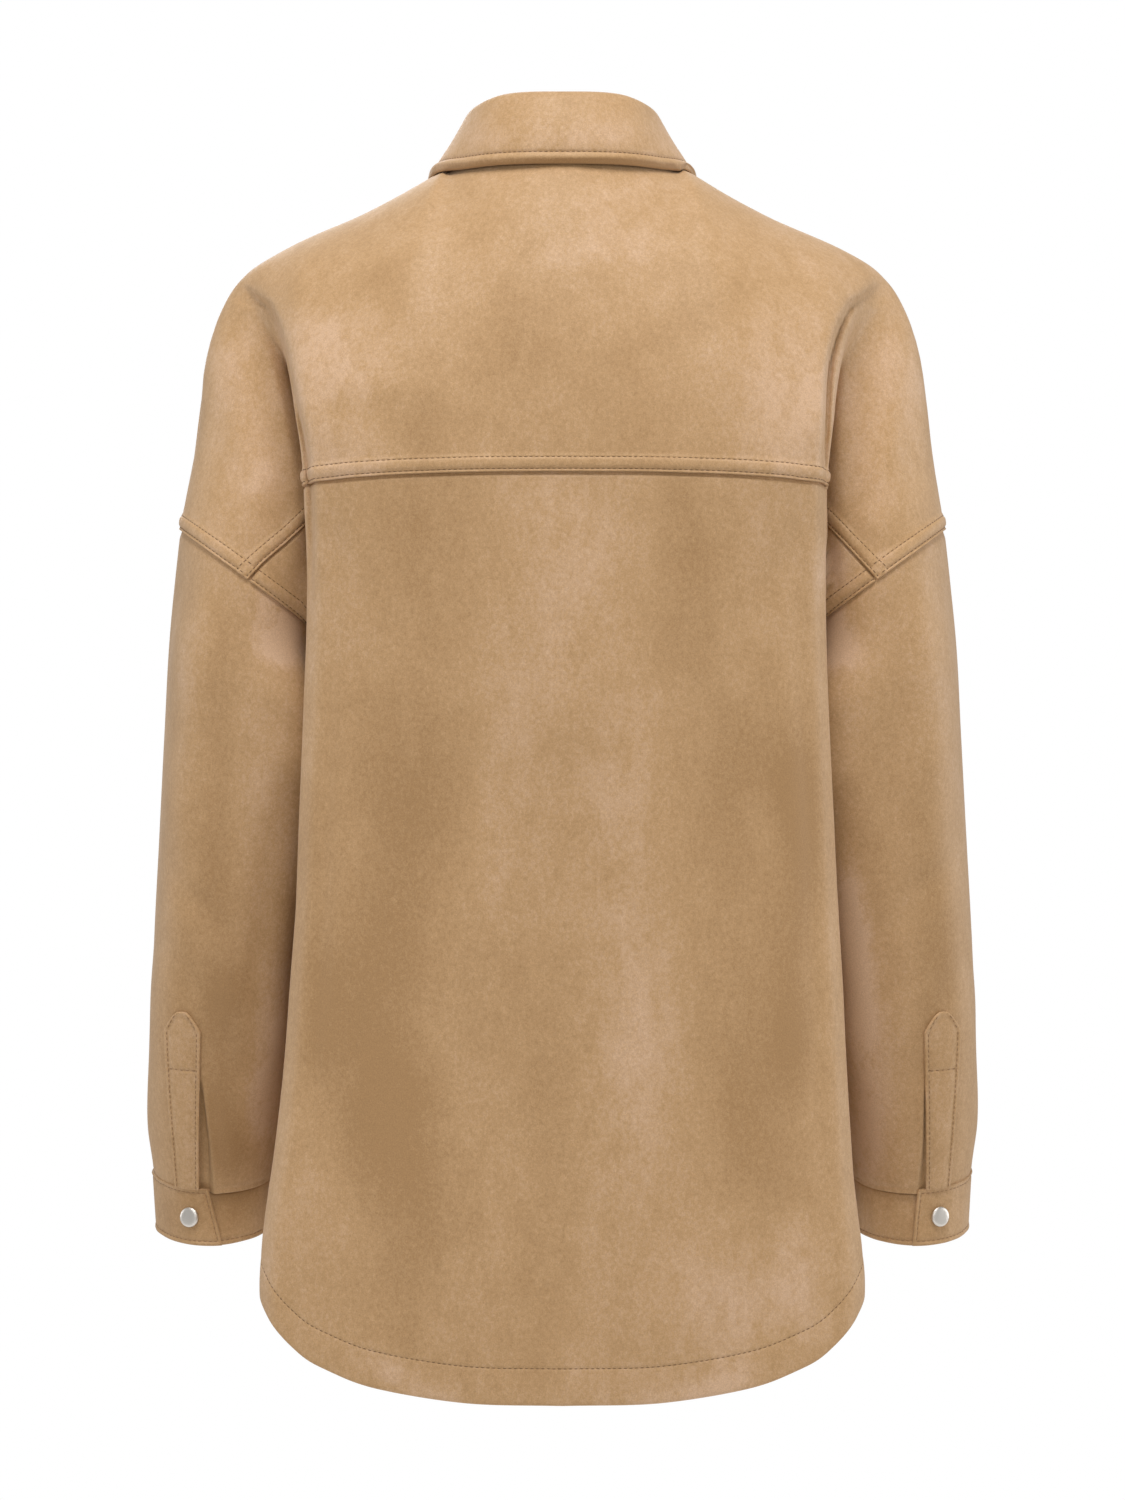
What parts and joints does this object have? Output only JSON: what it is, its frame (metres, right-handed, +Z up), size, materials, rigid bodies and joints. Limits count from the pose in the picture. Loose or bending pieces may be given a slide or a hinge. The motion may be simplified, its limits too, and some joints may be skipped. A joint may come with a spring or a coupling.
{
  "type": "suede shirt-jacket",
  "caption": "Oversized suede shirt-jacket in worn form, with shirt collar, dropped-shoulder back yoke, snap cuffs and curved shirt-tail hem.",
  "frame": {"origin": "middle of the neck opening, level with the shoulder line beside the collar, where the wearer's neck and shoulders hold the garment", "axes": "+Z up, the front faces -Y, the wearer's left is +X"},
  "size_m": [0.5148, 0.2654, 0.797],
  "materials": {
    "suede_yoke": "napped faux suede, matt with a soft sheen",
    "suede_back": "napped faux suede, matt with a soft sheen",
    "suede_front": "napped faux suede, matt with a soft sheen",
    "suede_sleeve": "napped faux suede, matt with a soft sheen",
    "suede_cuff": "napped faux suede, matt with a soft sheen",
    "suede_placket": "napped faux suede, matt with a soft sheen",
    "suede_collar": "napped faux suede, matt with a soft sheen",
    "snap_metal": "satin nickel"
  },
  "bodies": {
    "root": {"back_yoke": "suede_yoke", "back_panel": "suede_back", "front_left": "suede_front", "front_right": "suede_front", "front_placket": "suede_placket", "collar_stand": "suede_collar", "collar_leaf": "suede_collar", "sleeve_left": "suede_sleeve", "sleeve_right": "suede_sleeve", "sleeve_placket_left": "suede_placket", "sleeve_placket_right": "suede_placket", "cuff_left": "suede_cuff", "cuff_right": "suede_cuff", "snap_front_1": "snap_metal", "snap_front_2": "snap_metal", "snap_front_3": "snap_metal", "snap_front_4": "snap_metal", "snap_front_5": "snap_metal", "snap_front_6": "snap_metal", "snap_collar": "snap_metal", "snap_cuff_left": "snap_metal", "snap_cuff_right": "snap_metal"}
  },
  "joints": []
}
